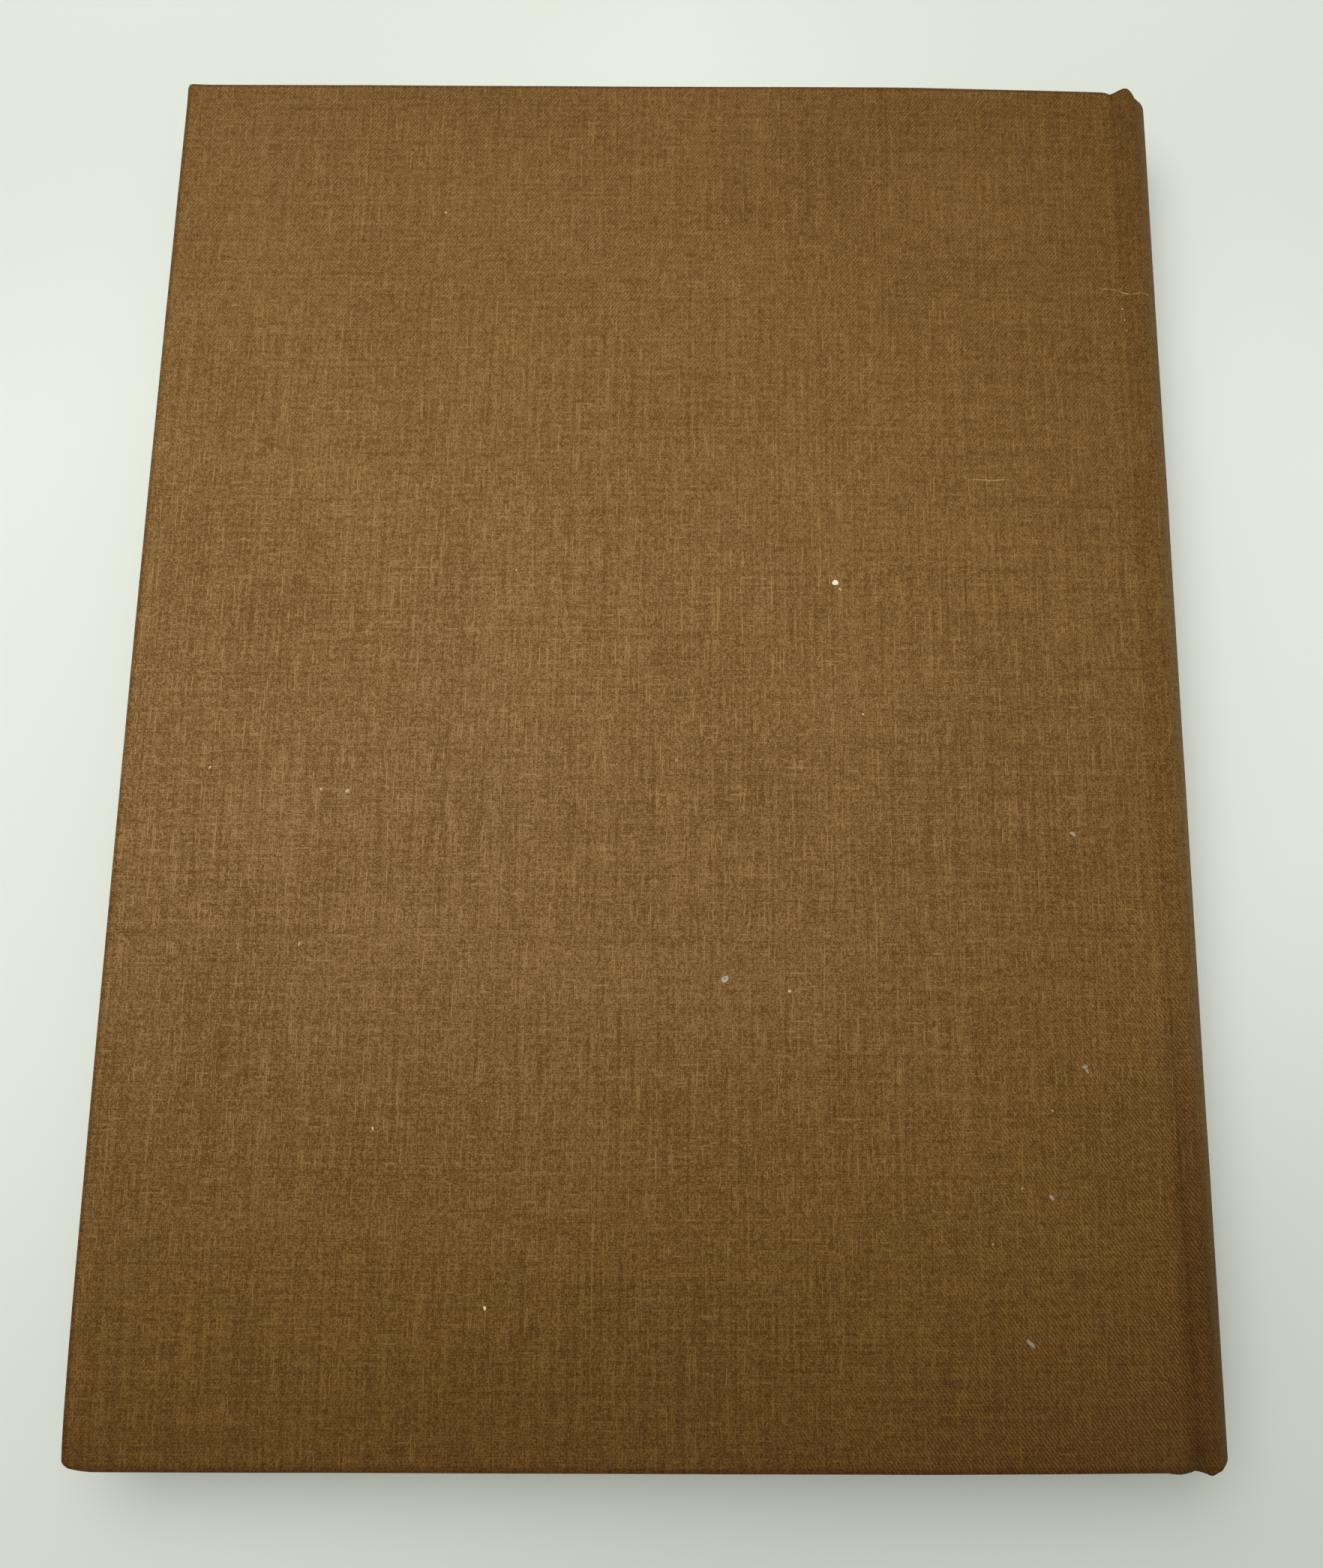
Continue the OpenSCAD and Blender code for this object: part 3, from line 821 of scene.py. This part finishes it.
def smooth(v, a, b, lo=0.0, hi=1.0):
    """From lo at a to hi at b, smooth between."""
    node = Val.tree.nodes.new("ShaderNodeMapRange")
    node.interpolation_type = "SMOOTHSTEP"
    Val.tree.links.new(v.s, node.inputs["Value"])
    node.inputs["From Min"].default_value, node.inputs["From Max"].default_value = a, b
    node.inputs["To Min"].default_value, node.inputs["To Max"].default_value = lo, hi
    return Val(node.outputs["Result"])


def vec(x, y, z):
    """Three values as a vector."""
    node = Val.tree.nodes.new("ShaderNodeCombineXYZ")
    for k, a in enumerate((x, y, z)):
        if isinstance(a, Val):
            Val.tree.links.new(a.s, node.inputs[k])
        else:
            node.inputs[k].default_value = a
    return node.outputs[0]


def soft_noise(x, y, scale=1.0, detail=1.0, rough=0.5, seed=0.0):
    """Smooth noise from 0 to 1."""
    node = Val.tree.nodes.new("ShaderNodeTexNoise")
    node.noise_dimensions = "3D"
    Val.tree.links.new(vec(x, y, seed), node.inputs["Vector"])
    node.inputs["Scale"].default_value, node.inputs["Detail"].default_value = scale, detail
    node.inputs["Roughness"].default_value = rough
    return Val(node.outputs[0])


def chance(x, y, seed):
    """A random number from 0 to 1 for each whole x and y."""
    node = Val.tree.nodes.new("ShaderNodeTexWhiteNoise")
    node.noise_dimensions = "3D"
    Val.tree.links.new(vec(x, y, seed), node.inputs["Vector"])
    return Val(node.outputs["Value"])


def attribute(name):
    """One of the mesh's own values."""
    node = Val.tree.nodes.new("ShaderNodeAttribute")
    node.attribute_name = name
    return Val(node.outputs["Fac"])


def coords(kind="UV"):
    """Three coordinates times 1000, so in millimetres where they are places."""
    node = Val.tree.nodes.new("ShaderNodeTexCoord")
    split = Val.tree.nodes.new("ShaderNodeSeparateXYZ")
    Val.tree.links.new(node.outputs[kind], split.inputs[0])
    return [Val(split.outputs[k]) * 1000.0 for k in range(3)]


def rgb(c):
    """A fixed colour as a socket."""
    node = Val.tree.nodes.new("ShaderNodeRGB")
    node.outputs[0].default_value = (*c, 1)
    return node.outputs[0]


def mix(fac, a, b):
    """Colour a at 0, colour b at 1."""
    node = Val.tree.nodes.new("ShaderNodeMix")
    node.data_type, node.blend_type = "RGBA", "MIX"
    for key, val in (("Factor", fac), ("A", a), ("B", b)):
        kinds = ("VALUE", "RGBA") if key == "Factor" else ("RGBA",)
        sock = [i for i in node.inputs if i.name == key and i.type in kinds][0]
        if isinstance(val, tuple):
            sock.default_value = (*val, 1)
        else:
            Val.tree.links.new(val.s if isinstance(val, Val) else val, sock)
    return [o for o in node.outputs if o.type == "RGBA"][0]


def scaled(colour, k):
    """A colour times a number."""
    node = Val.tree.nodes.new("ShaderNodeVectorMath")
    node.operation = "SCALE"
    Val.tree.links.new(colour, node.inputs[0])
    Val.tree.links.new(k.s, node.inputs["Scale"])
    return node.outputs[0]


def material(name):
    """A new matt material. From here on the functions above add nodes to its tree."""
    mat = bpy.data.materials.new(name)
    mat.use_nodes = True
    Val.tree = mat.node_tree
    shader = mat.node_tree.nodes["Principled BSDF"]
    shader.inputs["Roughness"].default_value = 0.9
    shader.inputs["Specular IOR Level"].default_value = 0.2
    return mat, shader


def bump(shader, height, depth_mm, strength=1.0):
    """Fine relief in the shader's normal."""
    node = Val.tree.nodes.new("ShaderNodeBump")
    node.inputs["Strength"].default_value = strength
    node.inputs["Distance"].default_value = depth_mm * MM
    Val.tree.links.new(height.s, node.inputs["Height"])
    Val.tree.links.new(node.outputs[0], shader.inputs["Normal"])


# The cloth's darkest and lightest threads, and the grey of its rubbed places and of the painted sheen on
# the spine's round
DARK_THREAD, LIGHT_THREAD = (0.135, 0.0589, 0.0087), (0.358, 0.204, 0.078)
RUB_AND_SHEEN = (0.195, 0.150, 0.092)


def weave(u, v):
    """Height of the woven threads, how light they are, and two finer noises."""
    # The threads wander a little
    wu = (u + (soft_noise(u * 0.10, v * 0.055, 1, 2) - 0.5) * 1.0
          + (soft_noise(u * 1.1, v * 0.6, 1, 1, seed=4) - 0.5) * 0.42)
    wv = (v + (soft_noise(u * 0.05, v * 0.10, 1, 2, seed=9) - 0.5) * 1.2
          + (soft_noise(u * 0.6, v * 1.0, 1, 1, seed=5) - 0.5) * 0.55)
    p, q = wu / WARP, wv / WEFT
    i, j = whole(p), whole(q)
    dome_p, dome_q = Val.op("SINE", fract(p) * math.pi), Val.op("SINE", fract(q) * math.pi)
    # Warp on top where the sum of the indexes is even, weft where it is odd
    even = 1 - Val.op("PINGPONG", i + j, 1.0)
    warp_h = dome_p * (0.35 + 0.65 * dome_q * even) * (0.6 + 0.7 * chance(i, 0.0, 1))
    weft_h = dome_q * (0.35 + 0.65 * dome_p * (1 - even)) * (0.5 + 0.6 * chance(0.0, j, 2))
    height = top_of(warp_h, weft_h)
    # Painted highlights on the crowns and painted shade in the gaps along stretches of each thread, and the
    # fibres that lie on them
    run_p = soft_noise(i * 7.3, v * 0.13, 1, 2, seed=13)
    run_q = soft_noise(u * 0.18, j * 7.3, 1, 2, seed=14)
    crown_p, crown_q = dome_p * dome_p * dome_p, dome_q * dome_q * dome_q
    lines = (smooth(run_p, 0.59, 0.68) * crown_p * 0.75
             - smooth(run_p, 0.44, 0.32) * (1 - dome_p) * 0.50
             + smooth(run_q, 0.61, 0.70) * crown_q * 0.48
             - smooth(run_q, 0.42, 0.30) * (1 - dome_q) * 0.45)
    cell = chance(i, j, 21) - 0.5
    blotch = soft_noise(u * 1.15, v * 0.95, 1, 2, 0.6, seed=33) - 0.5
    grain = soft_noise(u * 3.1, v * 2.6, 1, 2, 0.6, seed=34) - 0.5
    fibre = soft_noise(u * 4.0, v * 1.0, 1, 1, seed=31) - 0.5
    mid = soft_noise(u * 0.32, v * 0.32, 1, 3, 0.6, seed=42) - 0.5
    # The diagonals of the weave catch the light towards the head and towards the tail's right
    head = smooth(v + u * 0.15, 20.0, 130.0) + smooth(v * -1.0 - u * 0.8, 60.0, 140.0, 0.0, 0.6)
    tail = smooth(u - v * 0.6, 180.0, 290.0)
    patchy = smooth(blotch + mid * 0.8, -0.25, 0.25, 0.3, 1.5)
    slant = (cosine((p - q) * math.pi) * head * 0.24 + cosine((p + q) * math.pi) * tail * 0.42) * patchy
    even_part = 1.2 - top_of(head, tail) * 0.40
    long_p = soft_noise(u * 1.9, v * 0.020, 1, 2, seed=44) - 0.5
    long_q = soft_noise(u * 0.014, v * 1.5, 1, 2, seed=45) - 0.5
    wide = soft_noise(u * 0.03, v * 0.03, 1, 3, seed=41) - 0.5
    light = (0.45
             + (lines * 1.1 + (height - 0.62) * 0.20 + cell * 0.16 + fibre * 0.5 + long_p * 0.7
                + grain * 2.4) * even_part
             + blotch * 1.15 + mid * 0.5 + slant + long_q * 0.5 + wide * 0.3 + attribute("rub") * 0.08)
    return height, light, grain, blotch


def painted_light_and_tone(u, v, grain):
    """Factors for red, green and blue: painted light, shade and sheen over the whole cloth, and patches of
    random tone.
    """
    broken = smooth(soft_noise(u * 0.2, v * 0.35, 1, 2, seed=51), 0.35, 0.6, 0.4, 1.1) + grain * 1.5
    # Painted light and shade: lighter in the middle, darker towards the head, the tail and the spine
    fx, fy = (u - 108.0) / 100.0, v / 100.0
    painted_light_and_shade = fy * 0.050 - fx * 0.149 - fx * fx * 0.105 - fy * fy * 0.271 + fy * fy * fy * 0.060
    # Painted shade in the joint and its crease, darkest before the tail, and on the edges, the spine's far
    # side and the tail cap's pit
    ends = (smooth(v, 40.0, 130.0, 0.0, 0.03) + smooth(v * -1.0, 40.0, 130.0, 0.0, 0.30)
            - smooth(v * -1.0, 110.0, 143.0, 0.0, 0.32))
    painted_light_and_shade = (painted_light_and_shade - attribute("joint") * (ends + 0.15) - attribute("crease") * broken * (ends + 0.15)
            - attribute("rim") * 0.4 - attribute("away") * 0.3 - attribute("pit") * 0.32)
    # Painted sheen: greyer low in the middle, browner at the head and the tail; and greyer broad patches at
    # random
    sheen_and_patches = (fy * fy * fy * 0.078 - fx * 0.055 - fy * 0.113 - fy * fy * 0.062
            + smooth(soft_noise(u * 0.022, v * 0.022, 1, 2, seed=47), 0.5, 0.75, -0.01, 0.10))
    return vec(Val.op("EXPONENT", painted_light_and_shade * 0.80 + sheen_and_patches * 0.1), Val.op("EXPONENT", painted_light_and_shade + sheen_and_patches * 0.2),
               Val.op("EXPONENT", painted_light_and_shade * 1.65 + sheen_and_patches))


def book_cloth():
    mat, shader = material("book_cloth")
    u, v, _ = coords()
    height, light, grain, blotch = weave(u, v)
    col = mix(least(top_of(light, 0.0), 1.6), DARK_THREAD, LIGHT_THREAD)
    # Rubbed places and the painted sheen on the spine's round turn greyer
    col = mix(attribute("rub") * smooth(grain + blotch, -0.2, 0.3, 0.15, 0.6), col, RUB_AND_SHEEN)
    node = Val.tree.nodes.new("ShaderNodeVectorMath")
    node.operation = "MULTIPLY"
    Val.tree.links.new(col, node.inputs[0])
    Val.tree.links.new(painted_light_and_tone(u, v, grain), node.inputs[1])
    shader.inputs["Base Color"].default_value = (0.19, 0.105, 0.036, 1)
    Val.tree.links.new(node.outputs[0], shader.inputs["Base Color"])
    shader.inputs["Roughness"].default_value = 0.6
    shader.inputs["Specular IOR Level"].default_value = 0.12
    bump(shader, height + grain * 0.3 + blotch * 0.4, 0.09, 1.0)
    return mat


def paper(name, colour, edge=False):
    """Paper, or with edge the cut edges of many leaves."""
    mat, shader = material(name)
    x, y, z = coords("Object")
    if edge:
        n = (soft_noise(z * 9.0, (x + y) * 0.02, 1, 2, seed=1) * 0.6
             + soft_noise(z * 2.0, (x + y) * 0.5, 1, 2, seed=2) * 0.4)
        light = 0.80 + 0.34 * n
    else:
        n = soft_noise(x * 0.8, y * 0.8, 1, 4, 0.7, seed=3)
        light = 0.94 + 0.12 * n
    Val.tree.links.new(scaled(rgb(colour), light), shader.inputs["Base Color"])
    bump(shader, n, 0.02, 0.6)
    return mat


def plain(name, colour, scale, amount, depth):
    """A plain material with cloudy noise in its colour and relief."""
    mat, shader = material(name)
    x, y, z = coords("Object")
    n = soft_noise(x, y + z, scale, 4, 0.65)
    Val.tree.links.new(scaled(rgb(colour), 1 - amount / 2 + n * amount), shader.inputs["Base Color"])
    bump(shader, n, depth, 0.8)
    return mat


def gauze():
    mat, shader = material("gauze")
    _, y, z = coords("Object")
    pitch = 1.2
    a = absolute(Val.op("SINE", y * (math.pi / pitch)))
    b = absolute(Val.op("SINE", z * (math.pi / pitch)))
    thread = top_of(smooth(a, 0.8, 0.95), smooth(b, 0.8, 0.95))
    col = mix(thread, (0.46, 0.34, 0.2), (0.72, 0.68, 0.56))
    Val.tree.links.new(col, shader.inputs["Base Color"])
    bump(shader, thread, 0.08)
    return mat


def thread():
    mat, shader = material("band_thread")
    x, y, _ = coords("Object")
    n = soft_noise(x * 4, y * 4, 1, 2)
    col = mix(attribute("thread"), (0.62, 0.53, 0.36), (0.33, 0.18, 0.08))
    Val.tree.links.new(scaled(col, 0.85 + n * 0.3), shader.inputs["Base Color"])
    return mat


def fleck_look():
    mat, shader = material("flecks")
    x, y, _ = coords("Object")
    node = Val.tree.nodes.new("ShaderNodeAttribute")
    node.attribute_name = "tint"
    col = scaled(node.outputs["Color"], 0.75 + soft_noise(x * 3, y * 3, 1, 2) * 0.5)
    Val.tree.links.new(col, shader.inputs["Base Color"])
    shader.inputs["Roughness"].default_value = 0.8
    return mat


OWN = {"cloth_flecks": fleck_look()}
LOOKS = {
    "book_cloth": book_cloth(),
    "page_paper": paper("page_paper", (0.74, 0.66, 0.5), True),
    "end_paper": paper("end_paper", (0.78, 0.72, 0.58)),
    "binders_board": plain("binders_board", (0.33, 0.3, 0.25), 1.5, 0.5, 0.05),
    "spine_paper": plain("spine_paper", (0.42, 0.31, 0.2), 1.2, 0.3, 0.03),
    "gauze": gauze(),
    "band_thread": thread(),
}
for obj in bpy.data.objects:
    if obj.type != "MESH" or not ("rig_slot" in obj or "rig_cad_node" in obj):
        continue
    name = obj.get("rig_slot")
    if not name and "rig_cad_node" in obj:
        name = next(p["material_slot"] for p in frame["record"]["subparts"] if p["node"] == obj.name)
    obj.data.materials.clear()
    obj.data.materials.append(OWN.get(obj.name) or LOOKS[name])

# Surface, light and camera
TABLE, TABLE_FAR = (0.845, 0.865, 0.82), (0.91, 0.93, 0.88)
SKY = 0.478
bpy.ops.mesh.primitive_plane_add(size=4)
ground = bpy.context.object
ground.name = "floor"
mat, shader = material("floor")
# Painted shade: the table is a little darker towards the tail, the tail's right and the head's corners
x, y, _ = coords("Object")
shade = (1 - smooth(y * -1.0, 60.0, 200.0, 0.0, 0.12) - smooth(x * 0.6 - y, 100.0, 190.0, 0.0, 0.10)
         - smooth(y + absolute(x) * 0.5, 130.0, 230.0, 0.0, 0.10))
far = smooth(Val.op("SQRT", x * x + y * y), 350.0, 900.0)
col = mix(far, scaled(rgb(TABLE), shade), TABLE_FAR)
Val.tree.links.new(col, shader.inputs["Base Color"])
shader.inputs["Roughness"].default_value = 1.0
shader.inputs["Specular IOR Level"].default_value = 0.0
see = Val.tree.nodes.new("ShaderNodeBsdfTransparent")
geo = Val.tree.nodes.new("ShaderNodeNewGeometry")
blend = Val.tree.nodes.new("ShaderNodeMixShader")
# The floor gives way from below, above a cover that is opened within 20 mm below it, and for the
# light within half a millimetre under the book
near = Val.tree.nodes.new("ShaderNodeAmbientOcclusion")
near.inside, near.samples = True, 8
near.inputs["Distance"].default_value = 20 * MM
ray = Val.tree.nodes.new("ShaderNodeLightPath")
close = smooth(Val(ray.outputs["Ray Length"]), 0.4 * MM, 0.6 * MM, 1.0, 0.0)
close = close * (1 - Val(ray.outputs["Is Camera Ray"]))
gives_way = top_of(Val(geo.outputs["Backfacing"]), smooth(Val(near.outputs["AO"]), 0.90, 0.99, 1.0, 0.0))
Val.tree.links.new(top_of(gives_way, close).s, blend.inputs[0])
Val.tree.links.new(shader.outputs[0], blend.inputs[1])
Val.tree.links.new(see.outputs[0], blend.inputs[2])
Val.tree.links.new(blend.outputs[0], Val.tree.nodes["Material Output"].inputs["Surface"])
ground.data.materials.append(mat)


def lamp(name, place, aim, size, power, colour):
    """A round soft lamp, in metres and watts."""
    data = bpy.data.lights.new(name, "AREA")
    data.shape, data.size, data.energy, data.color = "DISK", size, power, colour
    obj = bpy.data.objects.new(name, data)
    obj.location = place
    obj.rotation_euler = (Vector(aim) - Vector(place)).to_track_quat("-Z", "Y").to_euler()
    bpy.context.scene.collection.objects.link(obj)


lamp("key", place=(-0.09, 0.21, 0.65), aim=(0, 0.02, 0), size=0.75, power=3.28, colour=(0.97, 1.0, 0.96))
world = bpy.data.worlds.new("world")
world.use_nodes = True
world.node_tree.nodes["Background"].inputs[0].default_value = (0.98, 1.0, 0.94, 1)
Val.tree = world.node_tree
ray = world.node_tree.nodes.new("ShaderNodeLightPath")
# For the camera alone the sky is a little darker, and below the horizon it has the floor's tone
_, _, up = coords("Generated")
level = SKY + Val(ray.outputs["Is Camera Ray"]) * smooth(up, -210.0, -140.0, 0.14, -0.04)
world.node_tree.links.new(level.s, world.node_tree.nodes["Background"].inputs[1])
bpy.context.scene.world = world

# The photo's camera, fitted to the book's outline: picture's size, focal length and optical centre
# in pixels, sensor's height in millimetres, then its place and turn
WIDTH, HEIGHT, FOCAL, CENTRE = 1764, 2090, 1708, (984.24, 1046)
SENSOR = 36
cam_data = bpy.data.cameras.new("camera")
cam_data.sensor_fit, cam_data.sensor_height = "VERTICAL", SENSOR
cam_data.lens = FOCAL * SENSOR / HEIGHT
cam_data.shift_x, cam_data.shift_y = (WIDTH / 2 - CENTRE[0]) / HEIGHT, (CENTRE[1] - HEIGHT / 2) / HEIGHT
cam_data.clip_start = 0.01
cam = bpy.data.objects.new("camera", cam_data)
turn = Vector((0.1883, -0.0015, 0.0036))
place = Matrix.Translation(Vector((15.96, -64.44, 274.76)) * MM)
cam.matrix_world = place @ Matrix.Rotation(turn.length, 4, turn.normalized())
bpy.context.scene.collection.objects.link(cam)
bpy.context.scene.camera = cam
bpy.context.scene.view_settings.view_transform = "Standard"
